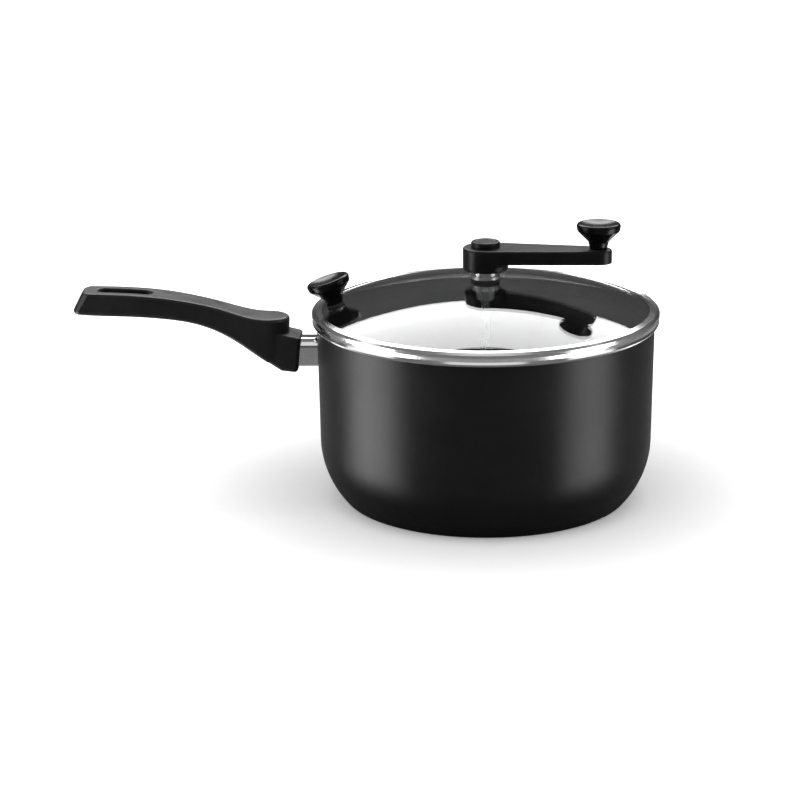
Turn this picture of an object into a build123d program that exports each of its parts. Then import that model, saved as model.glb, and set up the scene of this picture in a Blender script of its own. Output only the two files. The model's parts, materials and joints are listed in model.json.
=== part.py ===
from build123d import *

import os
from math import asin, cos, degrees, radians, sin, sqrt, tan

# Stovetop popcorn popper: a deep pot with one long handle, and a glass lid that carries a hand
# crank. The crank's shaft runs down through the lid and turns a wire stirrer over the pot's base.
# Millimetres and degrees. +Z is up, the origin is the centre of the flat base, and the handle
# points to -X.

# ---------------------------------------------------------------- driving dimensions
# fits
seat_gap = 0.3  # between pieces that move past each other
running_gap = 0.05  # radial, between a turning shaft and its bore
moulding_gap = 0.15  # between a moulded socket and what it takes

# pot, pressed from one aluminium sheet
pot_lip_radius = 122.5
pot_height = 132.3
pot_wall = 2.5
wall_lean = 1.0  # how far the wall opens towards the lip
lower_curve_radius = 66.0
lower_curve_end = 42.0  # below level, where the lower curve meets the base corner
base_corner_radius = 5.5
lip_round = 0.7

# handle joint on the pot's wall
joint_drop = 22.3  # from the lip down to the joint's axis
stud_pad_radius = 8.0
stud_pad_thickness = 1.8
stud_post_radius = 4.5
stud_length = 13.0
guard_width = 20.0
guard_height = 20.3
guard_wall = 1.2
guard_shown = 11.6  # bare length between the pot's wall and the handle
guard_top_round = 6.5
guard_bottom_round = 1.5
guard_socket_depth = 4.0

# handle, one phenolic moulding
grip_end_length = 166.7  # behind the block's front, to the lowest point of the slanted end
grip_stations = (  # behind the block's front: top and underside from the joint's axis, half width
    (grip_end_length + 4.6, 45.0, 28.8, 13.2),
    (grip_end_length - 7.4, 45.0, 28.6, 13.8),
    (grip_end_length - 19.4, 44.8, 28.0, 14.2),
    (123.3, 43.9, 27.4, 14.7),
    (98.3, 41.6, 25.6, 14.6),
    (78.3, 38.2, 22.3, 13.8),
    (60.3, 34.0, 15.9, 13.4),
    (44.3, 29.2, 6.9, 14.6),
    (32.3, 26.5, -1.4, 15.6),
    (24.3, 25.8, -6.8, 15.8),
)
grip_draft = 2.0  # how much the sides draw in downwards
grip_top_round = 2.6
grip_bottom_round = 3.4
grip_end_lean = 27.0
grip_end_corner = 9.0
grip_end_half_width = 14.4
grip_end_flare = 22.0  # half width of the cut that leaves the grip alone beyond its end
grip_end_round = 2.4
block_width = 27.6
block_drop = 14.6  # from the joint's axis down to the block's foot
block_rise = 11.3  # from the joint's axis up to the shoulder's front edge
block_lean = 2.4  # how far the front face falls back at the foot
block_shoulder_slope = 13.0
block_heel = (14.6, -13.1)  # behind the front and from the joint's axis, where the slope ends
block_back = (26.3, -5.4)
block_corner_round = 3.0
block_round = 1.0
slot_length = 39.6
slot_width = 11.5
slot_end_wall = 19.0  # from the slot to the lowest point of the slanted end
slot_mouth_round = 1.2
screw_hole_radius = 2.7
screw_pocket_radius = 5.6
screw_wall = 12.3  # handle clamped between the screw's washer and the flame guard
handle_screw_radius = 2.5
handle_screw_head_radius = 4.6
handle_screw_head_height = 3.4
handle_screw_head_round = 1.1
spring_washer_radius = 4.8
spring_washer_thickness = 1.2
spring_washer_slit = 0.8
spring_washer_slit_turn = 30.0

# lid glass, a shallow dome
glass_curve_radius = 350.0
glass_thickness = 4.0
glass_edge_inset = 1.1  # inside the pot lip's outer radius
glass_edge_rise = 7.45  # from the lip up to the top of the glass's edge

# lid rim, rolled from one steel sheet
rim_sheet = 0.7
rim_overhang = 3.4  # beyond the pot's lip
rim_flange_reach = 2.7  # how far it grips in over the glass
rim_skirt_length = 6.3
rim_skirt_gap = 1.1  # between the skirt and the pot's inner wall
rim_fold_gap = 0.6
rim_flange_end = (1.0, 0.1)  # beyond the glass's edge and above its top
rim_bead = (  # from the rim's outer face and from the top of the glass's edge
    (-1.2, 1.1),
    (0.0, -0.3),
    (0.0, -2.4),
)
rim_foot = (  # from the rim's outer face and from its seat on the pot's lip
    (-0.9, 2.0),
    (-0.3, 0.4),
    (-1.3, -0.9),
    (-2.6, 0.0),
)

# mushroom knobs
knob_foot_radius = 6.1
knob_neck_radius = 7.4
knob_neck_height = 5.4
knob_flange_radius = 16.1
knob_flange_lean = 0.7
knob_underside_height = 13.4
knob_height = 18.7
knob_neck_round = 5.0
knob_underside_round = 2.4
knob_edge_round = 2.0
knob_dish_radius = 13.4
knob_dish_depth = 2.3

# lid knob and its fixing through the glass
lid_knob_inset = 12.8  # from the glass's edge to the knob's axis
lid_knob_screw_radius = 2.0
lid_knob_screw_reach = 9.0
lid_knob_head_radius = 4.0
lid_knob_head_height = 2.4
lid_knob_head_round = 1.2
lid_knob_hole_radius = 3.0
lid_knob_insert_radius = 3.6
lid_knob_insert_length = 10.0
lid_knob_gasket_radius = 6.8
lid_knob_gasket_thickness = 0.8
lid_knob_washer_radius = 6.6
lid_knob_seal_thickness = 1.2
lid_knob_washer_thickness = 1.0

# bush through the middle of the glass
bush_hole_radius = 6.8
bush_tail_radius = 6.5
bush_tail_length = 11.0  # below the glass
bush_flange_radius = 10.5
bush_flange_thickness = 2.4
bush_collar_radius = 9.2
bush_edge_round = 0.6
bush_gasket_thickness = 2.2
under_gasket_radius = 9.3
under_gasket_thickness = 1.5
bush_nut_width = 16.0
bush_nut_height = 4.0
thrust_washer_radius = 8.4
thrust_washer_thickness = 0.8

# crank
crank_rest_angle = -5.0
crank_throw = 81.2
hub_lift = 8.4  # from the top of the glass to the hub
hub_height = 16.6
hub_radius = 16.4
arm_thickness = 9.8
arm_end_radius = 9.8
arm_edge_round = 1.5
arm_root_round = 3.0
hub_pocket_radius = 8.0
hub_pocket_depth = 6.5
hub_cap_radius = 10.5
hub_cap_height = 4.4
hub_cap_dish_depth = 0.4
hub_cap_ring_width = 0.8
hub_cap_wall = 1.6
hub_cap_spigot = 2.6
hub_cap_round = 1.4
shaft_radius = 3.0
shaft_flats = 4.6
shaft_flats_start = 1.0  # above the hub's underside
shaft_thread_radius = 2.5
shaft_nut_width = 8.0
shaft_nut_height = 3.8
shaft_washer_radius = 5.0
shaft_washer_thickness = 0.9
clip_radius = 5.6
clip_thickness = 0.8
clip_groove_depth = 0.7
clip_mouth = 3.6

# crank knob's spindle, a shouldered screw
spindle_radius = 3.0
spindle_head_radius = 5.2
spindle_head_height = 2.0
spindle_head_round = 0.7
spindle_head_gap = 0.5
spindle_thread_radius = 2.0
spindle_insert_radius = 3.4
spindle_insert_length = 8.0
knob_web_height = 11.4  # from the knob's foot to the seat under the spindle's head
knob_cap_radius = 11.4
knob_cap_thickness = 1.4

# stirrer
stirrer_hub_radius = 7.5
stirrer_hub_height = 17.0
stirrer_hub_round = 1.0
stirrer_floor_gap = 1.0
stirrer_wire_radius = 1.5
stirrer_wire_lift = 0.4  # from the hub's underside to the wire
stirrer_corner_gap = 5.3  # from the wire's end to where the pot's floor turns up
stirrer_sweep = 15.0  # how far each arm's end trails its root
stirrer_straight = 42.0
stirrer_upturn = 16.0
stirrer_bend_radius = 20.0
stirrer_end_bend_radius = 5.0
stirrer_angle = 28.0
set_screw_radius = 2.0
set_screw_length = 4.2
set_screw_height = 12.5
shaft_seat_depth = 11.0

# ---------------------------------------------------------------- worked out from these
pot_curve_start = radians(wall_lean)
pot_curve_end = radians(lower_curve_end)
pot_curve_height = (
    base_corner_radius + (lower_curve_radius - base_corner_radius) * sin(pot_curve_end)
)


def pot_wall_radius(height):
    """Outer radius of the straight part of the pot's wall."""
    return pot_lip_radius - (pot_height - height) * tan(radians(wall_lean))


pot_curve_centre = pot_wall_radius(
    pot_curve_height - lower_curve_radius * sin(pot_curve_start)
) - lower_curve_radius * cos(pot_curve_start)
pot_floor_radius = pot_curve_centre + (lower_curve_radius - base_corner_radius) * cos(pot_curve_end)

joint_height = pot_height - joint_drop
joint_radius = pot_wall_radius(joint_height)
block_front_x = -joint_radius - guard_shown
socket_floor_x = block_front_x - guard_socket_depth
screw_seat_x = socket_floor_x - screw_wall
screw_head_x = screw_seat_x - spring_washer_thickness
stud_pad_x = -joint_radius - stud_pad_thickness
stud_root_x = -joint_radius + pot_wall

glass_edge_radius = pot_lip_radius - glass_edge_inset
glass_centre_z = pot_height + glass_edge_rise - sqrt(glass_curve_radius**2 - glass_edge_radius**2)
glass_top_z = glass_centre_z + glass_curve_radius
glass_inner_radius = glass_curve_radius - glass_thickness
lid_knob_tilt = degrees(asin((glass_edge_radius - lid_knob_inset) / glass_curve_radius))
lid_knob_seal_depth = glass_thickness + lid_knob_seal_thickness
lid_knob_washer_depth = lid_knob_seal_depth + lid_knob_washer_thickness
under_gasket_depth = glass_thickness + under_gasket_thickness


hub_bottom = glass_top_z + hub_lift
arm_top = hub_bottom + hub_height
pocket_floor = arm_top - hub_pocket_depth
nut_low = pocket_floor + shaft_washer_thickness
nut_high = nut_low + shaft_nut_height
bush_bottom = glass_top_z - glass_thickness - bush_tail_length
clip_top = bush_bottom - seat_gap
stirrer_bottom = pot_wall + stirrer_floor_gap
wire_z = stirrer_bottom + stirrer_wire_lift + stirrer_wire_radius
shaft_bottom = stirrer_bottom + stirrer_hub_height - shaft_seat_depth

UPRIGHT = (Align.CENTER, Align.CENTER, Align.MIN)
GLASS_TOP = Pos(0, 0, glass_top_z)
LID_KNOB_FOOT = (  # on top of the glass and square to it
    Pos(0, 0, glass_centre_z) * Rot(Y=-lid_knob_tilt) * Pos(0, 0, glass_curve_radius)
)
CRANK = Rot(Z=crank_rest_angle)
CRANK_END = CRANK * Pos(crank_throw, 0, arm_top)
KNOB_FOOT = CRANK_END * Pos(0, 0, seat_gap)
STIRRER = Rot(Z=stirrer_angle)


# ---------------------------------------------------------------- shared shapes
def turned(outline, rounds=()):
    """A solid turned about Z from (radius, height) corners; rounds holds (corner, radius) pairs."""
    face = make_face(Polyline(*outline, close=True))
    for corner, radius in rounds:
        vertex = face.vertices().sort_by_distance(Vector(*outline[corner]))[0]
        face = fillet(vertex, radius)
    return revolve(Plane.XZ * face, Axis.Z)


def disc(radius, low, high, hole=0.0):
    """A round disc or washer between two heights."""
    return turned([(hole, low), (radius, low), (radius, high), (hole, high)])


def hexagon_nut(width, low, high, hole):
    """A hexagon nut by its width across flats."""
    hexagon = RegularPolygon(width / 2, 6, major_radius=False) - Circle(hole)
    return Pos(0, 0, low) * extrude(hexagon, high - low)


def glass_ball(radius):
    """A ball about the centre of the glass's curve."""
    return Pos(0, 0, glass_centre_z) * Sphere(radius)


def under_glass(place, radius, depth, hole):
    """A ring that fills the space from the glass's underside down to a depth below its top."""
    ring = place * disc(radius, -depth, 0, hole)
    return ring & glass_ball(glass_inner_radius)


def over_glass(place, radius, height, hole):
    """A ring that fills the space from the glass's top up to a height."""
    ring = place * disc(radius, -glass_thickness, height, hole)
    return ring - glass_ball(glass_curve_radius)


# ---------------------------------------------------------------- pot
def pot_blank(inset):
    """The pot filled up to its lip, with its outside moved in by inset."""
    corner = CenterArc(
        (pot_floor_radius, base_corner_radius),
        base_corner_radius - inset,
        -90,
        90 - lower_curve_end,
    )
    lower = CenterArc(
        (pot_curve_centre, pot_curve_height),
        lower_curve_radius - inset,
        -lower_curve_end,
        lower_curve_end - wall_lean,
    )
    lip = (pot_lip_radius - inset / cos(radians(wall_lean)), pot_height)
    base = Line((0, inset), corner @ 0)
    wall = Line(lower @ 1, lip)
    top = Line(lip, (0, pot_height))
    middle = Line((0, pot_height), (0, inset))
    return revolve(Plane.XZ * make_face([base, corner, lower, wall, top, middle]), Axis.Z)


def make_pot_body():
    shell = pot_blank(0) - pot_blank(pot_wall)
    lip = shell.edges().filter_by(GeomType.CIRCLE).group_by(Axis.Z)[-1]
    return fillet(lip, lip_round)


# ---------------------------------------------------------------- handle joint
def rod(radius, start_x, end_x):
    """A round rod along the handle screw's axis, from start_x back to end_x."""
    upright = Cylinder(radius, start_x - end_x, align=UPRIGHT)
    return Pos(start_x, 0, joint_height) * Rot(Y=-90) * upright


def guard_bar(start_x, end_x, grow):
    """A bar of the flame guard's outline, grown all round, from start_x back to end_x."""
    outline = Rectangle(guard_width + 2 * grow, guard_height + 2 * grow)
    outline = fillet(outline.vertices().group_by(Axis.Y)[-1], guard_top_round + grow)
    lower = outline.vertices().group_by(Axis.Y)[0]
    outline = fillet(lower, guard_bottom_round + grow)
    facing = Plane((start_x, 0, joint_height), x_dir=(0, -1, 0), z_dir=(-1, 0, 0))
    return extrude(facing * outline, start_x - end_x)


def make_flame_guard():
    tube = guard_bar(stud_root_x, socket_floor_x, 0) - guard_bar(
        stud_root_x, socket_floor_x, -guard_wall
    )
    return tube - pot_blank(0)


def make_weld_stud():
    pad = rod(stud_pad_radius, stud_root_x, stud_pad_x)
    post = rod(stud_post_radius, stud_root_x, -joint_radius - stud_length)
    thread = rod(handle_screw_radius, stud_pad_x, -joint_radius - stud_length)
    return pad + post - pot_blank(0) - thread


def make_handle_screw():
    head = rod(handle_screw_head_radius, screw_head_x, screw_head_x - handle_screw_head_height)
    far_edge = head.edges().filter_by(GeomType.CIRCLE).group_by(Axis.X)[0]
    head = fillet(far_edge, handle_screw_head_round)
    return head + rod(handle_screw_radius, stud_pad_x, screw_head_x)


def make_spring_washer():
    ring = rod(spring_washer_radius, screw_seat_x, screw_head_x)
    ring -= rod(handle_screw_radius, screw_seat_x, screw_head_x)
    slit = Box(3 * spring_washer_thickness, spring_washer_slit, spring_washer_radius, align=UPRIGHT)
    middle = Pos((screw_seat_x + screw_head_x) / 2, 0, joint_height)
    return ring - middle * Rot(Z=spring_washer_slit_turn) * slit


# ---------------------------------------------------------------- handle
def grip_section(behind, top, underside, half_width):
    """The grip's cross-section: a rounded bar whose sides draw in downwards."""
    low_half = half_width - (top - underside) * tan(radians(grip_draft))
    corners = [(-half_width, top), (half_width, top), (low_half, underside), (-low_half, underside)]
    face = make_face(Polyline(*corners, close=True))
    face = fillet(face.vertices().group_by(Axis.Y)[-1], grip_top_round)
    face = fillet(face.vertices().group_by(Axis.Y)[0], grip_bottom_round)
    across = Plane((block_front_x - behind, 0, joint_height), x_dir=(0, 1, 0), z_dir=(1, 0, 0))
    return across * face


def make_grip_end_trim():
    """A slanting bar with rounded corners whose end face cuts the grip off."""
    half = grip_end_half_width
    flare = grip_end_flare
    outline = Polyline(
        (0, -half),
        (flare / 2, -half),
        (flare, -flare),
        (grip_end_length, -flare),
        (grip_end_length, flare),
        (flare, flare),
        (flare / 2, half),
        (0, half),
        close=True,
    )
    face = make_face(outline)
    face = fillet(face.vertices().group_by(Axis.X)[0], grip_end_corner)
    _, end_top, end_underside, _ = grip_stations[0]
    depth = end_underside + block_drop
    lean = tan(radians(grip_end_lean))
    foot = Pos(block_front_x - grip_end_length - depth * lean, 0, joint_height - block_drop)
    return extrude(foot * face, 2 * end_top, dir=(lean, 0, 1))


def is_outlined(edge, faces):
    """Whether just one of the faces has this edge, so it lies on their common outline."""
    owners = [face for face in faces if any(other.is_same(edge) for other in face.edges())]
    return len(owners) == 1


def make_grip():
    grip = loft([grip_section(*station) for station in grip_stations]) & make_grip_end_trim()
    near_end = block_front_x - grip_stations[2][0]
    end_faces = [
        face
        for face in grip.faces()
        if face.geom_type != GeomType.BSPLINE and face.center().X < near_end
    ]
    ring = [edge for edge in grip.edges() if is_outlined(edge, end_faces)]
    return fillet([edge for edge in ring if edge.center().X < near_end], grip_end_round)


def make_nose():
    """The thumb rest's round front, a half turn of the grip's last section."""
    behind = grip_stations[-1][0]
    centre = Pos(block_front_x - behind, 0, 0)
    whole = centre.inverse() * grip_section(*grip_stations[-1])
    half = whole & Pos(0, pot_lip_radius / 2, joint_height) * Box(1, pot_lip_radius, pot_height)
    return centre * revolve(half.faces()[0], Axis.Z, -180)


def make_block():
    """The block at the handle's front that takes the flame guard."""
    back, back_height = block_back
    heel, heel_height = block_heel
    shoulder_back = block_rise + back * tan(radians(block_shoulder_slope))
    outline = Polyline(
        (-back, shoulder_back),
        (0, block_rise),
        (-block_lean, -block_drop),
        (-heel, heel_height),
        (-back, back_height),
        close=True,
    )
    bar = extrude(Plane.XZ * make_face(outline), block_width / 2, both=True)
    sides = bar.edges().filter_by(Axis.Y, reverse=True)
    undersides = [
        edge for edge in sides if edge.center().Z < back_height and edge.center().X < -block_lean
    ]
    bar = fillet(undersides, grip_bottom_round)
    uprights = bar.edges().filter_by(lambda edge: edge.bounding_box().size.Y < moulding_gap)
    bar = fillet(uprights.group_by(Axis.X)[-1], block_corner_round)
    front = bar.faces().sort_by(Axis.X)[-1].edges()
    shoulder = bar.faces().sort_by(Axis.Z)[-1].edges()
    rims = {tuple(edge.center()): edge for edge in front + shoulder}
    bar = fillet(list(rims.values()), block_round)
    return Pos(block_front_x, 0, joint_height) * bar


def cut_slot(grip):
    """The grip with the hanging slot through it, rounded at both mouths."""
    middle_x = block_front_x - grip_end_length + slot_end_wall + slot_length / 2
    cutter = extrude(SlotOverall(slot_length, slot_width), pot_height / 2)
    grip -= Pos(middle_x, 0, joint_height) * cutter
    mouths = [
        edge
        for edge in grip.edges()
        if abs(edge.center().X - middle_x) < slot_length / 2 + slot_mouth_round
        and abs(edge.center().Y) < slot_width / 2 + slot_mouth_round
        and edge.bounding_box().size.Z < slot_width
    ]
    return fillet(mouths, slot_mouth_round)


def make_handle():
    handle = cut_slot(make_grip()) + make_nose() + make_block()
    handle -= guard_bar(block_front_x, socket_floor_x, moulding_gap)
    handle -= guard_bar(block_front_x + block_lean, block_front_x, moulding_gap)
    handle -= rod(screw_hole_radius, socket_floor_x, screw_seat_x)
    return handle - rod(screw_pocket_radius, screw_seat_x, block_front_x - grip_stations[6][0])


# ---------------------------------------------------------------- lid glass and rim
def glass_blank():
    """The dome before it is drilled."""
    dome = glass_ball(glass_curve_radius) - glass_ball(glass_inner_radius)
    return dome & disc(glass_edge_radius, pot_height, glass_top_z)


def make_lid_glass():
    drill = Cylinder(lid_knob_hole_radius, 4 * glass_thickness)
    glass = glass_blank() - disc(bush_hole_radius, pot_height, hub_bottom)
    return glass - LID_KNOB_FOOT * drill


def glass_height(radius):
    """Height of the glass's top surface at a radius."""
    return glass_centre_z + sqrt(glass_curve_radius**2 - radius**2)


def make_lid_rim():
    """One sheet, rolled over the glass's edge, down to a bead, and in and down to the skirt."""
    half = rim_sheet / 2
    outer = pot_lip_radius + rim_overhang - half
    flange_edge = glass_edge_radius - rim_flange_reach
    skirt = pot_lip_radius - pot_wall - rim_skirt_gap - half
    fold = skirt + rim_sheet + rim_fold_gap
    seat = pot_height + half
    fold_top = sqrt(glass_inner_radius**2 - (fold + half) ** 2) + glass_centre_z - half
    edge_top = pot_height + glass_edge_rise
    flange_out, flange_up = rim_flange_end
    path = Polyline(
        (flange_edge, glass_height(flange_edge) + half),
        (glass_edge_radius + flange_out, edge_top + flange_up),
        *((outer + out, edge_top + up) for out, up in rim_bead),
        *((outer + out, seat + up) for out, up in rim_foot),
        (fold, seat),
        (fold, fold_top),
        (skirt, fold_top),
        (skirt, pot_height - rim_skirt_length),
    )
    sheet = revolve(Plane.XZ * trace(path, rim_sheet), Axis.Z)
    return sheet - glass_blank()


# ---------------------------------------------------------------- knobs
def mushroom():
    """A knob with a narrow neck, a flared underside and a dished top."""
    outline = [
        (0, 0),
        (knob_foot_radius, 0),
        (knob_neck_radius, knob_neck_height),
        (knob_flange_radius - knob_flange_lean, knob_underside_height),
        (knob_flange_radius, knob_height),
        (0, knob_height),
    ]
    rounds = [(2, knob_neck_round), (3, knob_underside_round), (4, knob_edge_round)]
    return turned(outline, rounds) - dish()


def dish():
    """The ball that hollows a knob's top."""
    radius = (knob_dish_radius**2 + knob_dish_depth**2) / (2 * knob_dish_depth)
    return Pos(0, 0, knob_height - knob_dish_depth + radius) * Sphere(radius)


def make_lid_knob():
    foot = LID_KNOB_FOOT * Pos(0, 0, lid_knob_gasket_thickness)
    return foot * (mushroom() - disc(lid_knob_insert_radius, 0, lid_knob_insert_length))


def make_lid_knob_insert():
    foot = LID_KNOB_FOOT * Pos(0, 0, lid_knob_gasket_thickness)
    return foot * disc(lid_knob_insert_radius, 0, lid_knob_insert_length, lid_knob_screw_radius)


def make_lid_knob_gasket():
    return over_glass(
        LID_KNOB_FOOT, lid_knob_gasket_radius, lid_knob_gasket_thickness, lid_knob_screw_radius
    )


def make_lid_knob_seal():
    return under_glass(
        LID_KNOB_FOOT, lid_knob_washer_radius, lid_knob_seal_depth, lid_knob_screw_radius
    )


def make_lid_knob_washer():
    return LID_KNOB_FOOT * disc(
        lid_knob_washer_radius, -lid_knob_washer_depth, -lid_knob_seal_depth, lid_knob_screw_radius
    )


def make_lid_knob_screw():
    bottom = -lid_knob_washer_depth - lid_knob_head_height
    outline = [
        (0, bottom),
        (lid_knob_head_radius, bottom),
        (lid_knob_head_radius, -lid_knob_washer_depth),
        (lid_knob_screw_radius, -lid_knob_washer_depth),
        (lid_knob_screw_radius, lid_knob_screw_reach),
        (0, lid_knob_screw_reach),
    ]
    return LID_KNOB_FOOT * turned(outline, [(1, lid_knob_head_round)])


def make_crank_knob():
    bore = disc(spindle_radius + running_gap, 0, knob_height)
    head_room = disc(spindle_head_radius + spindle_head_gap, knob_web_height, knob_height)
    return KNOB_FOOT * (mushroom() - bore - head_room - knob_cap_blank())


def knob_cap_blank():
    low = knob_height - knob_dish_depth - knob_cap_thickness
    return disc(knob_cap_radius, low, knob_height)


def make_knob_cap():
    return KNOB_FOOT * (knob_cap_blank() - dish())


def make_knob_spindle():
    head_low = knob_web_height + 2 * seat_gap
    outline = [
        (0, -spindle_insert_length),
        (spindle_thread_radius, -spindle_insert_length),
        (spindle_thread_radius, 0),
        (spindle_radius, 0),
        (spindle_radius, head_low),
        (spindle_head_radius, head_low),
        (spindle_head_radius, head_low + spindle_head_height),
        (0, head_low + spindle_head_height),
    ]
    return CRANK_END * turned(outline, [(6, spindle_head_round)])


def make_spindle_insert():
    return CRANK_END * disc(
        spindle_insert_radius, -spindle_insert_length, 0, spindle_thread_radius
    )


# ---------------------------------------------------------------- bush through the glass
def make_shaft_bush():
    flange_low = bush_gasket_thickness
    flange_high = flange_low + bush_flange_thickness
    collar_top = hub_lift - thrust_washer_thickness
    tail_low = -glass_thickness - bush_tail_length
    bore = shaft_radius + running_gap
    outline = [
        (bore, collar_top),
        (bush_collar_radius, collar_top),
        (bush_collar_radius, flange_high),
        (bush_flange_radius, flange_high),
        (bush_flange_radius, flange_low),
        (bush_tail_radius, flange_low),
        (bush_tail_radius, tail_low),
        (bore, tail_low),
    ]
    return GLASS_TOP * turned(outline, [(1, bush_edge_round), (3, bush_edge_round)])


def make_bush_gasket():
    return over_glass(GLASS_TOP, bush_flange_radius, bush_gasket_thickness, bush_tail_radius)


def make_under_gasket():
    return under_glass(GLASS_TOP, under_gasket_radius, under_gasket_depth, bush_tail_radius)


def make_bush_nut():
    high = -under_gasket_depth
    return GLASS_TOP * hexagon_nut(bush_nut_width, high - bush_nut_height, high, bush_tail_radius)


def make_thrust_washer():
    low = hub_bottom - thrust_washer_thickness
    return disc(thrust_washer_radius, low, hub_bottom, shaft_radius + running_gap)


# ---------------------------------------------------------------- crank
def make_crank_shaft():
    flats_low = hub_bottom + shaft_flats_start
    rod_blank = disc(shaft_radius, shaft_bottom, pocket_floor)
    across = Box(shaft_flats, 2 * shaft_radius, arm_top, align=UPRIGHT)
    flats = disc(shaft_radius, flats_low, pocket_floor) & across
    shaft = disc(shaft_radius, shaft_bottom, flats_low) + flats
    shaft += disc(shaft_thread_radius, pocket_floor, nut_high + shaft_washer_thickness)
    groove_root = shaft_radius - clip_groove_depth
    shaft -= disc(2 * shaft_radius, clip_top - clip_thickness, clip_top, groove_root)
    return CRANK * shaft


def make_shaft_clip():
    """Open spring clip in the shaft's groove, just under the bush."""
    ring = disc(clip_radius, clip_top - clip_thickness, clip_top, shaft_radius - clip_groove_depth)
    mouth = Box(2 * clip_radius, clip_mouth, hub_bottom, align=(Align.MIN, Align.CENTER, Align.MIN))
    return CRANK * (ring - mouth)


def arm_plan():
    """The arm from above: a round end on the hub's side and at the tip, and straight flanks."""
    lean = (hub_radius - arm_end_radius) / crank_throw
    across = sqrt(1 - lean**2)
    hub_x, hub_y = hub_radius * lean, hub_radius * across
    end_x, end_y = crank_throw + arm_end_radius * lean, arm_end_radius * across
    flank = Line((hub_x, hub_y), (end_x, end_y))
    tip = ThreePointArc((end_x, end_y), (crank_throw + arm_end_radius, 0), (end_x, -end_y))
    other_flank = Line((end_x, -end_y), (hub_x, -hub_y))
    hub_side = ThreePointArc((hub_x, -hub_y), (-hub_radius, 0), (hub_x, hub_y))
    return make_face([flank, tip, other_flank, hub_side])


def make_crank_arm():
    """The arm and the hub under it, with the pocket for the shaft's nut."""
    bar_low = arm_top - arm_thickness
    reach = crank_throw + 2 * arm_end_radius
    step = [
        (0, hub_bottom),
        (hub_radius, hub_bottom),
        (hub_radius, bar_low),
        (reach, bar_low),
        (reach, arm_top),
        (0, arm_top),
    ]
    arm = Pos(0, 0, hub_bottom) * extrude(arm_plan(), hub_height)
    arm &= turned(step, [(2, arm_root_round)])
    faces = arm.faces().sort_by(Axis.Z)
    arm = fillet(faces[-1].edges() + faces[0].edges(), arm_edge_round)
    arm -= disc(hub_pocket_radius, pocket_floor, arm_top)
    arm -= Pos(crank_throw, 0, arm_top) * disc(spindle_insert_radius, -spindle_insert_length, 0)
    return CRANK * arm - make_crank_shaft()


def make_shaft_washer():
    return disc(shaft_washer_radius, pocket_floor, nut_low, shaft_thread_radius)


def make_shaft_nut():
    return CRANK * hexagon_nut(shaft_nut_width, nut_low, nut_high, shaft_thread_radius)


def make_hub_cap():
    """Hollow cap pressed into the hub's pocket over the nut."""
    spigot_inner = hub_pocket_radius - hub_cap_wall
    top = arm_top + hub_cap_height
    outline = [
        (0, top - hub_cap_dish_depth),
        (hub_pocket_radius - hub_cap_ring_width, top - hub_cap_dish_depth),
        (hub_pocket_radius, top),
        (hub_cap_radius, top),
        (hub_cap_radius, arm_top),
        (hub_pocket_radius, arm_top),
        (hub_pocket_radius, arm_top - hub_cap_spigot),
        (spigot_inner, arm_top - hub_cap_spigot),
        (spigot_inner, top - hub_cap_wall),
        (0, top - hub_cap_wall),
    ]
    return turned(outline, [(3, hub_cap_round)])


# ---------------------------------------------------------------- stirrer
def make_stirrer_hub():
    top = stirrer_bottom + stirrer_hub_height
    corners = [(stirrer_hub_radius, stirrer_bottom), (stirrer_hub_radius, top)]
    outline = [(0, stirrer_bottom), *corners, (0, top)]
    hub = turned(outline, [(1, stirrer_hub_round), (2, stirrer_hub_round)])
    wire_hole = Pos(0, 0, wire_z) * Rot(Y=90) * Cylinder(stirrer_wire_radius, stirrer_straight)
    hub -= disc(shaft_radius, shaft_bottom, top)
    return STIRRER * (hub - wire_hole) - make_set_screw()


def make_set_screw():
    """Headless screw through the hub's side onto the shaft."""
    screw = Pos(0, shaft_radius, stirrer_bottom + set_screw_height) * Rot(X=-90) * Cylinder(
        set_screw_radius, set_screw_length, align=UPRIGHT
    )
    return STIRRER * screw


def make_stirrer_wire():
    """One wire through the hub: two trailing arms over the floor, turned up at the ends."""
    end_radius = pot_floor_radius - stirrer_corner_gap
    end_x = sqrt(end_radius**2 - stirrer_sweep**2)
    points = [
        (-end_x, stirrer_sweep, wire_z + stirrer_upturn),
        (-end_x, stirrer_sweep, wire_z),
        (-stirrer_straight, 0, wire_z),
        (stirrer_straight, 0, wire_z),
        (end_x, -stirrer_sweep, wire_z),
        (end_x, -stirrer_sweep, wire_z + stirrer_upturn),
    ]
    bends = [
        stirrer_end_bend_radius, stirrer_bend_radius, stirrer_bend_radius, stirrer_end_bend_radius
    ]
    path = FilletPolyline(*points, radius=bends)
    start = Plane(path @ 0, z_dir=path % 0)
    return STIRRER * sweep(start * Circle(stirrer_wire_radius), path=path)


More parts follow.
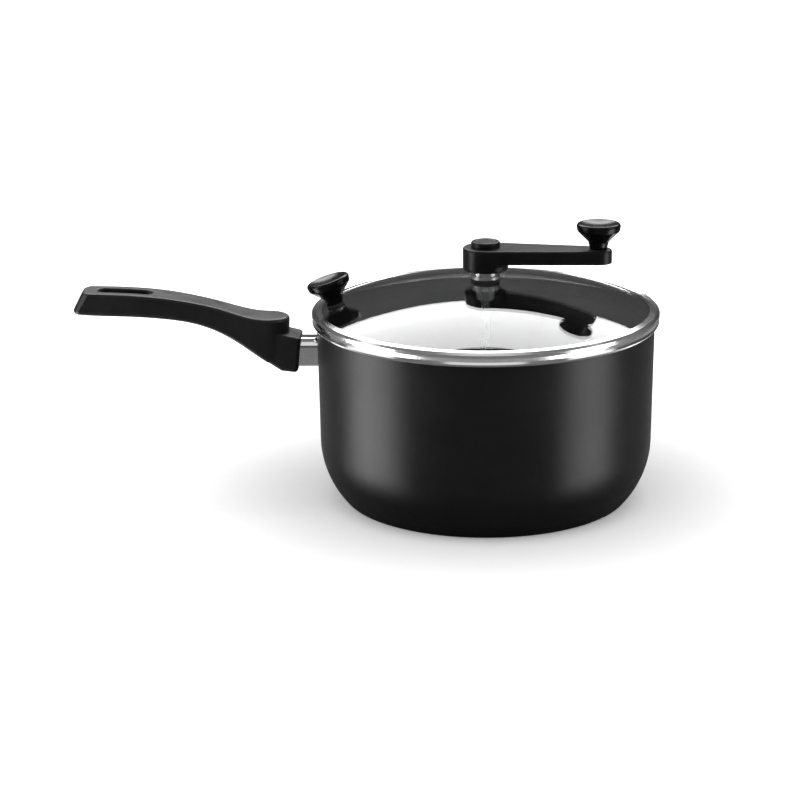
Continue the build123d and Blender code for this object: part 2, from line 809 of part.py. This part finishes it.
# ---------------------------------------------------------------- write
PIECES = {
    "pot_body": make_pot_body,
    "weld_stud": make_weld_stud,
    "flame_guard": make_flame_guard,
    "handle": make_handle,
    "handle_screw": make_handle_screw,
    "handle_spring_washer": make_spring_washer,
    "lid_glass": make_lid_glass,
    "lid_rim": make_lid_rim,
    "lid_knob": make_lid_knob,
    "lid_knob_insert": make_lid_knob_insert,
    "lid_knob_gasket": make_lid_knob_gasket,
    "lid_knob_seal": make_lid_knob_seal,
    "lid_knob_washer": make_lid_knob_washer,
    "lid_knob_screw": make_lid_knob_screw,
    "shaft_bush": make_shaft_bush,
    "bush_gasket": make_bush_gasket,
    "bush_under_gasket": make_under_gasket,
    "bush_nut": make_bush_nut,
    "thrust_washer": make_thrust_washer,
    "crank_shaft": make_crank_shaft,
    "shaft_clip": make_shaft_clip,
    "crank_arm": make_crank_arm,
    "shaft_washer": make_shaft_washer,
    "shaft_nut": make_shaft_nut,
    "hub_cap": make_hub_cap,
    "knob_spindle": make_knob_spindle,
    "spindle_insert": make_spindle_insert,
    "stirrer_hub": make_stirrer_hub,
    "stirrer_wire": make_stirrer_wire,
    "stirrer_set_screw": make_set_screw,
    "crank_knob": make_crank_knob,
    "knob_cap": make_knob_cap,
}

os.makedirs("parts", exist_ok=True)
for node, make in PIECES.items():
    export_step(make(), f"parts/{node}.step")
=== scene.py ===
import json
import math

import bpy
from mathutils import Matrix, Vector

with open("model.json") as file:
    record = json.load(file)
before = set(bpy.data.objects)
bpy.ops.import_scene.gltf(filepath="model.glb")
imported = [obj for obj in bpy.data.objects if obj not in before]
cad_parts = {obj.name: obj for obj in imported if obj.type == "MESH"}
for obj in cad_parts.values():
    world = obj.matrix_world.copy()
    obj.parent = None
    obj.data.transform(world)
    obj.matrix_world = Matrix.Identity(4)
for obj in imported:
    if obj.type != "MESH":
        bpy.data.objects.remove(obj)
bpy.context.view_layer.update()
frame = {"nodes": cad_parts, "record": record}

# Lengths are in metres and angles in degrees, unless a comment says otherwise.


def direction(bearing, elevation):
    """The unit vector at a bearing from +Y towards +X and an elevation."""
    turn, lift = math.radians(bearing), math.radians(elevation)
    return Vector(
        (
            math.sin(turn) * math.cos(lift),
            math.cos(turn) * math.cos(lift),
            math.sin(lift),
        )
    )


# ---------------------------------------------------------------- camera
CAMERA_PLACE = (0.0, -1.9186279, 0.6346829)
CAMERA_BEARING = -1.868
CAMERA_DIP = 16.350  # how far below the horizon it looks
CAMERA_ROLL = -0.5045
CAMERA_LENS = 122.88  # in mm, as is the sensor's width
CAMERA_SENSOR = 36.0
CAMERA_REACH = 100.0  # how far off it still sees


def make_camera():
    """The camera at the photograph's angle, with no shift and no blur."""
    forward = direction(CAMERA_BEARING, -CAMERA_DIP)
    level_right = forward.cross(Vector((0, 0, 1))).normalized()
    level_up = level_right.cross(forward)
    roll = math.radians(CAMERA_ROLL)
    right = level_right * math.cos(roll) + level_up * math.sin(roll)
    up = level_up * math.cos(roll) - level_right * math.sin(roll)
    data = bpy.data.cameras.new("camera")
    data.lens = CAMERA_LENS
    data.sensor_width = CAMERA_SENSOR
    data.clip_end = CAMERA_REACH
    camera = bpy.data.objects.new("camera", data)
    turn = Matrix((right, up, -forward)).transposed().to_4x4()
    camera.matrix_world = Matrix.Translation(CAMERA_PLACE) @ turn
    bpy.context.collection.objects.link(camera)
    bpy.context.scene.camera = camera


make_camera()


# ---------------------------------------------------------------- shader nodes
def grey(level):
    """A colour with that level of red, green and blue."""
    return (level, level, level, 1.0)


class Shader:
    """The nodes of a world or a material."""

    def __init__(self, owner):
        owner.use_nodes = True
        self.nodes = owner.node_tree.nodes
        self.links = owner.node_tree.links

    def node(self, kind, **settings):
        """A new node with those settings."""
        made = self.nodes.new("ShaderNode" + kind)
        for name, value in settings.items():
            setattr(made, name, value)
        return made

    def feed(self, socket, value):
        """Links an output to a socket, or sets a plain value on it."""
        if isinstance(value, bpy.types.NodeSocket):
            self.links.new(value, socket)
        else:
            socket.default_value = value

    def number(self, operation, a, b=0.0):
        """What the operation makes of one number or two."""
        made = self.node("Math", operation=operation)
        self.feed(made.inputs[0], a)
        self.feed(made.inputs[1], b)
        return made.outputs[0]

    def vector(self, operation, a, b=(0, 0, 0)):
        """What the operation makes of one vector or two."""
        made = self.node("VectorMath", operation=operation)
        self.feed(made.inputs[0], a)
        self.feed(made.inputs[1], b)
        gives_number = operation in ("DOT_PRODUCT", "LENGTH")
        return made.outputs["Value" if gives_number else "Vector"]

    def axes(self, place):
        """The place's X, Y and Z."""
        made = self.node("SeparateXYZ")
        self.feed(made.inputs[0], place)
        return made.outputs

    def span(self, value, over, to=(0.0, 1.0), interpolation="LINEAR"):
        """Where value lies between over's two levels, as a level between to's two."""
        made = self.node("MapRange", interpolation_type=interpolation)
        names = ("Value", "From Min", "From Max", "To Min", "To Max")
        for name, level in zip(names, (value, *over, *to)):
            self.feed(made.inputs[name], level)
        return made.outputs["Result"]

    def fade(self, value, over, to):
        """A span that starts and ends softly."""
        return self.span(value, over, to, "SMOOTHSTEP")

    def choose(self, factor, a, b, kind="FLOAT"):
        """a where factor is 0 and b where it is 1: numbers, or colours if kind is RGBA."""
        made = self.node("Mix", data_type=kind)
        self.feed(made.inputs["Factor"], factor)
        self.feed(made.inputs["A"], a)
        self.feed(made.inputs["B"], b)
        return made.outputs["Result"]

    def choose_shader(self, factor, a, b):
        """Shader a where factor is 0 and shader b where it is 1."""
        made = self.node("MixShader")
        for socket, value in zip(made.inputs, (factor, a.outputs[0], b.outputs[0])):
            self.feed(socket, value)
        return made

    def ray_kinds(self):
        """1 for rays seen straight or through glass, and 1 for mirrored and refracted rays."""
        path = self.node("LightPath").outputs
        mirrored = self.number("MINIMUM", path["Glossy Depth"], 1.0)
        through = self.choose(mirrored, path["Is Transmission Ray"], 0.0)
        seen = self.number("MAXIMUM", path["Is Camera Ray"], through)
        glossy = self.number("MAXIMUM", path["Is Glossy Ray"], path["Is Transmission Ray"])
        return seen, glossy


# ---------------------------------------------------------------- room
ROOM_WHITE = 1.0  # to the camera and through glass
ROOM_LIGHT = 0.55  # on plain surfaces
STUDIO_IN_GLOSS = (0.06, 0.20)  # at the horizon and on the ceiling
STUDIO_FADE = (0.0, 0.6)  # sines of the elevations of the horizon and the ceiling
FLOOR_HALF = 12.0  # half of its side
FLOOR_COLOUR = 0.80

# Each level is given near the object and far off. Its fade is the distances from the Z axis
# between which it changes.
FLOOR_IN_GLOSS = (0.25, 0.10)
FLOOR_IN_GLOSS_FADE = (0.45, 0.9)
FLOOR_LIFT = (0.25, 1.0)  # towards white, to the camera and through glass
FLOOR_LIFT_FADE = (0.12, 0.42)
# Held off close round the object's base, the mirror leaves the object's lower curve dark there:
# painted shade in place of its contact shadow in gloss; farther off it is a real soft mirror.
FLOOR_MIRROR = (0.0, 0.6)  # the floor's own reflections, seen only in gloss
FLOOR_MIRROR_FADE = (0.13, 0.23)
FLOOR_MIRROR_ROUGHNESS = 0.25


def make_world():
    """White to the camera and through glass, a dim studio in gloss, plainly lit."""
    world = bpy.data.worlds.new("room")
    bpy.context.scene.world = world
    shader = Shader(world)
    shader.nodes.clear()
    seen, glossy = shader.ray_kinds()
    height = shader.axes(shader.node("TexCoord").outputs["Generated"])["Z"]
    studio = shader.fade(height, STUDIO_FADE, STUDIO_IN_GLOSS)
    unseen = shader.choose(glossy, ROOM_LIGHT, studio)
    background = shader.node("Background")
    shader.feed(background.inputs["Color"], grey(1.0))
    shader.feed(background.inputs["Strength"], shader.choose(seen, unseen, ROOM_WHITE))
    out = shader.node("OutputWorld")
    shader.feed(out.inputs["Surface"], background.outputs[0])


def pale_floor():
    """Matt and pale, lifted to white far off, and a dim soft mirror in gloss."""
    material = bpy.data.materials.new("pale_floor")
    shader = Shader(material)
    shader.nodes.clear()
    seen, glossy = shader.ray_kinds()
    far = shader.vector("LENGTH", shader.node("TexCoord").outputs["Object"])
    in_gloss = shader.fade(far, FLOOR_IN_GLOSS_FADE, FLOOR_IN_GLOSS)
    lift = shader.fade(far, FLOOR_LIFT_FADE, FLOOR_LIFT)
    # no mirror close round the object: painted shade in place of its contact shadow in gloss
    mirror = shader.fade(far, FLOOR_MIRROR_FADE, FLOOR_MIRROR)
    matt = shader.node("BsdfDiffuse")
    shader.feed(matt.inputs["Color"], shader.choose(glossy, FLOOR_COLOUR, in_gloss))
    sheen = shader.node("BsdfGlossy")
    shader.feed(sheen.inputs["Roughness"], FLOOR_MIRROR_ROUGHNESS)
    surface = shader.choose_shader(shader.choose(glossy, 0.0, mirror), matt, sheen)
    glow = shader.node("Emission")
    shader.feed(glow.inputs["Strength"], shader.choose(seen, 0.0, lift))
    both = shader.node("AddShader")
    shader.feed(both.inputs[0], surface.outputs[0])
    shader.feed(both.inputs[1], glow.outputs[0])
    out = shader.node("OutputMaterial")
    shader.feed(out.inputs["Surface"], both.outputs[0])
    return material


def make_floor():
    """A pale floor that keeps the object's shadow and fades to white far off."""
    corners = [(x * FLOOR_HALF, y * FLOOR_HALF, 0) for x, y in ((-1, -1), (1, -1), (1, 1), (-1, 1))]
    mesh = bpy.data.meshes.new("floor")
    mesh.from_pydata(corners, [], [(0, 1, 2, 3)])
    mesh.materials.append(pale_floor())
    floor = bpy.data.objects.new("floor", mesh)
    bpy.context.collection.objects.link(floor)
    return floor


make_world()
FLOOR = make_floor()

# ---------------------------------------------------------------- lights
# name, bearing, elevation, distance, width, height
OVERHEAD = ("overhead_softbox", 180.0, 80.0, 1.9, 2.2, 2.4)
OVERHEAD_RADIANCE = 1.1
SEEN_IN_GLOSS = (  # each with its radiance on the pot, on the mouldings, and on metal and glass
    (("front_softbox", 180.0, 41.0, 2.4, 2.2, 2.2), 0.15, 0.3, 0.5),
    (("back_softbox", 0.0, 43.5, 2.2, 2.3, 0.97), 5.0, 6.0, 3.6),
    (("left_softbox", -99.5, 22.0, 1.6, 1.05, 1.3), 14.0, 1.8, 0.9),
    (("right_softbox", 107.5, 22.0, 1.6, 0.92, 1.3), 10.5, 1.8, 0.9),
)
MOULDED_SLOTS = ("handle_phenolic", "knob_phenolic", "crank_phenolic")
LIGHT_AIM = Vector((0.0, 0.0, 0.1))
POWER_PER_AREA = 4.0  # a lamp's watts for each unit of radiance and square metre


def make_light(radiance, name, bearing, elevation, distance, width, height):
    """A rectangular soft light that faces the object."""
    away = direction(bearing, elevation)
    data = bpy.data.lights.new(name, "AREA")
    data.shape = "RECTANGLE"
    data.size = width
    data.size_y = height
    data.energy = radiance * width * height * POWER_PER_AREA
    lamp = bpy.data.objects.new(name, data)
    bpy.context.collection.objects.link(lamp)
    lamp.location = LIGHT_AIM + away * distance
    lamp.rotation_euler = away.to_track_quat("Z", "Y").to_euler()
    lamp.visible_camera = False
    return lamp


def sort_pieces():
    """The pot with the floor that it mirrors, the mouldings, and the metal and glass pieces."""
    groups = [bpy.data.collections.new(name) for name in ("coated", "moulded", "bright")]
    coated, mouldings, bright = groups
    coated.objects.link(FLOOR)
    for part in frame["record"]["subparts"]:
        slot, piece = part["material_slot"], frame["nodes"][part["node"]]
        if slot == "pot_coating":
            coated.objects.link(piece)
        elif slot in MOULDED_SLOTS:
            mouldings.objects.link(piece)
        else:
            bright.objects.link(piece)
    return groups


def make_lights():
    """The overhead light, which no gloss shows, and softboxes, which only gloss shows."""
    make_light(OVERHEAD_RADIANCE, *OVERHEAD).visible_glossy = False
    groups = sort_pieces()
    for softbox, *radiances in SEEN_IN_GLOSS:
        for group, radiance in zip(groups, radiances):
            lamp = make_light(radiance, *softbox)
            lamp.visible_diffuse = False
            lamp.light_linking.receiver_collection = group


make_lights()

# ---------------------------------------------------------------- one material
SEAM_LEAN = 0.07  # sine of the most that a mesh normal leans beside a turned solid's seam
WAVE_PHASE = 20.0  # radians for each metre, in a wave texture with a scale of 1
WAVE_DETAIL_SCALE = 1.5
NOISE_MIDDLE = (0.3, 0.7)  # most of a noise's values lie between these


class Look(Shader):
    """One material: a Principled surface and the nodes that feed it."""

    def __init__(self, name, **constants):
        self.material = bpy.data.materials.new(name)
        super().__init__(self.material)
        self.surface = self.nodes["Principled BSDF"]
        self.place = self.node("TexCoord").outputs["Object"]
        self.relief = None
        self.give(**constants)

    def give(self, **values):
        """Links or sets inputs of the surface, named with _ for each space."""
        for name, value in values.items():
            self.feed(self.surface.inputs[name.replace("_", " ")], value)

    def drawn_out(self, stretch):
        """The place for a texture that is drawn out along Z by that much."""
        made = self.node("Mapping", vector_type="TEXTURE")
        self.feed(made.inputs["Vector"], self.place)
        self.feed(made.inputs["Scale"], (1, 1, stretch))
        return made.outputs[0]

    def noise(self, size, detail, roughness=0.55, distortion=0.0, place=None):
        """Soft noise of about that grain size, 0 to 1."""
        made = self.node("TexNoise")
        self.feed(made.inputs["Vector"], place or self.place)
        self.feed(made.inputs["Scale"], 1.0 / size)
        self.feed(made.inputs["Detail"], detail)
        self.feed(made.inputs["Roughness"], roughness)
        self.feed(made.inputs["Distortion"], distortion)
        return made.outputs["Fac"]

    def cells(self, size):
        """Distance from scattered points about that far apart, 0 at each point."""
        made = self.node("TexVoronoi")
        self.feed(made.inputs["Vector"], self.place)
        self.feed(made.inputs["Scale"], 1.0 / size)
        return made.outputs["Distance"]

    def grooves(self, pitch, kind="BANDS", distortion=0.0):
        """Bands along Z, or RINGS about Z, that repeat at that pitch."""
        made = self.node("TexWave", wave_type=kind, rings_direction="Z", bands_direction="Z")
        self.feed(made.inputs["Vector"], self.place)
        self.feed(made.inputs["Scale"], 2.0 * math.pi / WAVE_PHASE / pitch)
        self.feed(made.inputs["Distortion"], distortion)
        self.feed(made.inputs["Detail Scale"], WAVE_DETAIL_SCALE)
        return made.outputs["Fac"]

    def radius(self):
        """Distance from the Z axis."""
        x, y, _ = self.axes(self.place)
        square = self.number("ADD", self.number("MULTIPLY", x, x), self.number("MULTIPLY", y, y))
        return self.number("SQRT", square)

    def tint(self, factor, dark, light):
        """The dark colour where factor is 0, and the light one where it is 1."""
        return self.choose(factor, dark, light, "RGBA")

    def rippled(self, broad, to, fine, ripple, over=NOISE_MIDDLE):
        """A span of broad noise, and fine noise that adds or takes up to the ripple."""
        return self.number(
            "ADD",
            self.span(broad, over, to),
            self.span(fine, NOISE_MIDDLE, (-ripple, ripple)),
        )

    def turned(self):
        """Takes a mesh's small sideways leans out of a surface turned about Z."""
        facing = self.node("NewGeometry").outputs["Normal"]
        round_z = self.vector("CROSS_PRODUCT", (0, 0, 1), self.place)
        sideways = self.vector("NORMALIZE", round_z)
        lean = self.vector("DOT_PRODUCT", facing, sideways)
        small = self.number("LESS_THAN", self.number("ABSOLUTE", lean), SEAM_LEAN)
        extra = self.node("VectorMath", operation="SCALE")
        self.feed(extra.inputs[0], sideways)
        self.feed(extra.inputs["Scale"], self.number("MULTIPLY", lean, small))
        self.relief = self.vector("NORMALIZE", self.vector("SUBTRACT", facing, extra.outputs[0]))

    def bump(self, height, depth, strength=1.0):
        """Adds relief of that depth to what is there."""
        made = self.node("Bump")
        self.feed(made.inputs["Height"], height)
        self.feed(made.inputs["Distance"], depth)
        self.feed(made.inputs["Strength"], strength)
        if self.relief:
            self.feed(made.inputs["Normal"], self.relief)
        self.relief = made.outputs[0]

    def done(self, **values):
        """The material, with those inputs and its relief given to the surface."""
        self.give(**values)
        if self.relief:
            self.give(Normal=self.relief)
        return self.material


# ---------------------------------------------------------------- materials
# Each pair of colours is a finish's dark one and its light one.
COATING = (grey(0.0030), grey(0.0042))
COATING_PATCHES = (0.35, 0.65)  # the levels of noise between which it lightens
BARE_BASE = (grey(0.42), grey(0.62))
BARE_BASE_ROUGHNESS = 0.34
BARE_BASE_RADIUS = 0.086
BARE_BASE_EDGE = 0.0005  # how far in from that radius the coating fades out
BARE_BASE_TOP = 0.0004  # nothing higher than this is bare, and the lower half is all bare
ALUMINIUM = ((0.54, 0.54, 0.55, 1), (0.66, 0.66, 0.67, 1))
STEEL = ((0.76, 0.76, 0.77, 1), (0.84, 0.84, 0.85, 1))
STEEL_MARKS = (0.35, 0.7)  # the levels of noise between which handling roughens it
ZINC = ((0.60, 0.60, 0.62, 1), (0.71, 0.71, 0.73, 1))
ZINC_STRETCH = 12.0
BRASS = ((0.66, 0.47, 0.20, 1), (0.80, 0.61, 0.30, 1))
PHENOLIC = (grey(0.0018), grey(0.0032))
PHENOLIC_FLECK = grey(0.007)
PHENOLIC_FLECK_SHARE = 0.3  # how far a fleck goes towards its own colour
PHENOLIC_FLECK_RADIUS = 0.16  # as a share of the gap between flecks
PHENOLIC_GRAIN = 0.0006
PHENOLIC_FLECK_GAP = PHENOLIC_GRAIN * 3.0
PHENOLIC_FLOW_SHARE = 0.6  # how much of the wear follows the flow
PHENOLIC_RUBBED_SHARE = 0.4  # and how much of it is rubbing
PHENOLIC_WEAR = (0.38, 0.62)  # the levels of noise between which it roughens
PHENOLIC_SHEEN = {"Sheen_Weight": 0.06, "Sheen_Roughness": 0.5}
RUBBER = (grey(0.012), grey(0.03))
NYLON = ((0.78, 0.77, 0.72, 1), (0.86, 0.85, 0.81, 1))
GLASS = ((0.955, 0.975, 0.965, 1), (0.97, 0.985, 0.978, 1))
GLASS_FILM = (0.45, 0.75)  # the levels of noise between which the film shows
GLASS_TO_LAMPS = (0.9, 0.92, 0.91, 1)  # how much of a lamp's light it lets through


def pot_coating():
    """Black non-stick coating, with a bare turned face under the base."""
    look = Look("pot_coating", Specular_IOR_Level=0.20)
    look.turned()
    height = look.axes(look.place)["Z"]
    bare = look.number(
        "MULTIPLY",
        look.span(height, (BARE_BASE_TOP, BARE_BASE_TOP / 2)),
        look.span(look.radius(), (BARE_BASE_RADIUS, BARE_BASE_RADIUS - BARE_BASE_EDGE)),
    )
    rings = look.grooves(pitch=0.0011, kind="RINGS")
    patch = look.noise(size=0.035, detail=4.0)
    grain = look.noise(size=0.0011, detail=2.0)
    coating = look.tint(look.span(patch, COATING_PATCHES), *COATING)
    satin = look.rippled(patch, to=(0.34, 0.39), fine=grain, ripple=0.02)
    look.bump(grain, depth=0.00003, strength=0.5)
    look.bump(look.number("MULTIPLY", rings, bare), depth=0.00006)
    return look.done(
        Base_Color=look.tint(bare, coating, look.tint(rings, *BARE_BASE)),
        Roughness=look.choose(bare, satin, BARE_BASE_ROUGHNESS),
        Metallic=bare,
    )


def bare_aluminium():
    """Turned aluminium, with the tool's fine rings."""
    look = Look("bare_aluminium", Metallic=1.0)
    cloud = look.noise(size=0.004, detail=4.0)
    look.bump(look.grooves(pitch=0.00045, distortion=0.4), depth=0.00002, strength=0.6)
    return look.done(
        Base_Color=look.tint(cloud, *ALUMINIUM),
        Roughness=look.span(cloud, NOISE_MIDDLE, to=(0.28, 0.38)),
    )


def polished_steel(name, roughness, is_turned):
    """Polished stainless sheet, with faint drawn lines and handling marks."""
    look = Look(name, Metallic=1.0)
    if is_turned:
        look.turned()
    cloud = look.noise(size=0.012, detail=5.0, distortion=0.6)
    look.bump(look.grooves(pitch=0.0006, distortion=1.2), depth=0.000004, strength=0.4)
    return look.done(
        Base_Color=look.tint(cloud, *STEEL),
        Roughness=look.span(cloud, STEEL_MARKS, to=roughness),
    )


def bright_steel():
    """Zinc-bright hardware, softly worn, with faint drawn lines along Z."""
    look = Look("bright_steel", Metallic=1.0)
    cloud = look.noise(size=0.005, detail=2.0)
    drawn = look.noise(size=0.0007, detail=1.0, place=look.drawn_out(ZINC_STRETCH))
    look.bump(drawn, depth=0.000002, strength=0.4)
    return look.done(
        Base_Color=look.tint(cloud, *ZINC),
        Roughness=look.rippled(cloud, to=(0.24, 0.30), fine=drawn, ripple=0.015),
    )


def brass():
    """Turned brass, with fine rings and a light tarnish."""
    look = Look("brass", Metallic=1.0)
    cloud = look.noise(size=0.002, detail=4.0)
    look.bump(look.grooves(pitch=0.0005), depth=0.00002, strength=0.5)
    return look.done(
        Base_Color=look.tint(cloud, *BRASS),
        Roughness=look.span(cloud, NOISE_MIDDLE, to=(0.25, 0.4)),
    )


def moulded(name, roughness, grain_depth, **constants):
    """Black compression-moulded phenolic: fine grain, faint flow and rubbed patches."""
    look = Look(name, **constants)
    flow = look.noise(size=0.018, detail=5.0, distortion=0.8)
    rubbed = look.noise(size=0.006, detail=4.0, roughness=0.7)
    grain = look.noise(size=PHENOLIC_GRAIN, detail=2.0, roughness=0.6)
    look.bump(grain, depth=grain_depth, strength=0.7)
    tone = look.tint(look.span(flow, NOISE_MIDDLE), *PHENOLIC)
    cells = look.cells(PHENOLIC_FLECK_GAP)
    fleck = look.span(cells, (0.0, PHENOLIC_FLECK_RADIUS), to=(1.0, 0.0))
    worn = look.number(
        "ADD",
        look.number("MULTIPLY", flow, PHENOLIC_FLOW_SHARE),
        look.number("MULTIPLY", rubbed, PHENOLIC_RUBBED_SHARE),
    )
    return look.done(
        Base_Color=look.tint(
            look.number("MULTIPLY", fleck, PHENOLIC_FLECK_SHARE), tone, PHENOLIC_FLECK
        ),
        Roughness=look.rippled(worn, to=roughness, fine=grain, ripple=0.02, over=PHENOLIC_WEAR),
    )


def seal_rubber():
    """Matt black rubber with a faint pale bloom."""
    look = Look("seal_rubber", Specular_IOR_Level=0.3)
    bloom = look.noise(size=0.002, detail=5.0)
    look.bump(look.noise(size=0.0003, detail=2.0), depth=0.00002, strength=0.6)
    return look.done(
        Base_Color=look.tint(bloom, *RUBBER),
        Roughness=look.span(bloom, NOISE_MIDDLE, to=(0.6, 0.78)),
    )


def white_nylon():
    """Off-white nylon, which light enters a little."""
    look = Look("white_nylon", Subsurface_Weight=0.15, Subsurface_Scale=0.002)
    cloud = look.noise(size=0.003, detail=3.0)
    look.bump(look.noise(size=0.0005, detail=2.0), depth=0.00002, strength=0.4)
    return look.done(
        Base_Color=look.tint(cloud, *NYLON),
        Roughness=look.span(cloud, NOISE_MIDDLE, to=(0.38, 0.5)),
    )


def lid_glass():
    """Clear tempered glass with a faint green cast, which lets lamps through."""
    look = Look("lid_glass", IOR=1.5, Transmission_Weight=1.0)
    look.turned()
    film = look.noise(size=0.03, detail=5.0, distortion=0.7)
    look.done(
        Base_Color=look.tint(film, *GLASS),
        Roughness=look.span(film, GLASS_FILM, to=(0.0, 0.035)),
    )
    is_shadow_ray = look.node("LightPath").outputs["Is Shadow Ray"]
    clear = look.node("BsdfTransparent")
    look.feed(clear.inputs["Color"], GLASS_TO_LAMPS)
    mixed = look.choose_shader(is_shadow_ray, look.surface, clear)
    look.feed(look.nodes["Material Output"].inputs["Surface"], mixed.outputs[0])
    return look.material


LOOKS = {
    "pot_coating": pot_coating(),
    "bare_aluminium": bare_aluminium(),
    "polished_steel": polished_steel("polished_steel", roughness=(0.05, 0.11), is_turned=False),
    "bright_steel": bright_steel(),
    "brass": brass(),
    "handle_phenolic": moulded(
        "handle_phenolic",
        roughness=(0.30, 0.46),
        grain_depth=0.00005,
        Specular_IOR_Level=0.34,
        **PHENOLIC_SHEEN,
    ),
    "knob_phenolic": moulded(
        "knob_phenolic",
        roughness=(0.17, 0.25),
        grain_depth=0.00002,
        Specular_IOR_Level=0.15,
    ),
    "crank_phenolic": moulded(
        "crank_phenolic",
        roughness=(0.31, 0.41),
        grain_depth=0.00004,
        Specular_IOR_Level=0.17,
        **PHENOLIC_SHEEN,
    ),
    "seal_rubber": seal_rubber(),
    "white_nylon": white_nylon(),
    "lid_glass": lid_glass(),
}
NODE_LOOKS = {  # nodes that don't take their slot's look
    "lid_rim": polished_steel("rim_steel", roughness=(0.13, 0.18), is_turned=True),
}


def dress():
    """Gives every CAD node its own look, or that of its material slot."""
    for part in frame["record"]["subparts"]:
        look = NODE_LOOKS.get(part["node"], LOOKS[part["material_slot"]])
        for holder in frame["nodes"][part["node"]].material_slots:
            holder.material = look


dress()

# ---------------------------------------------------------------- picture
bpy.context.scene.view_settings.view_transform = "Standard"
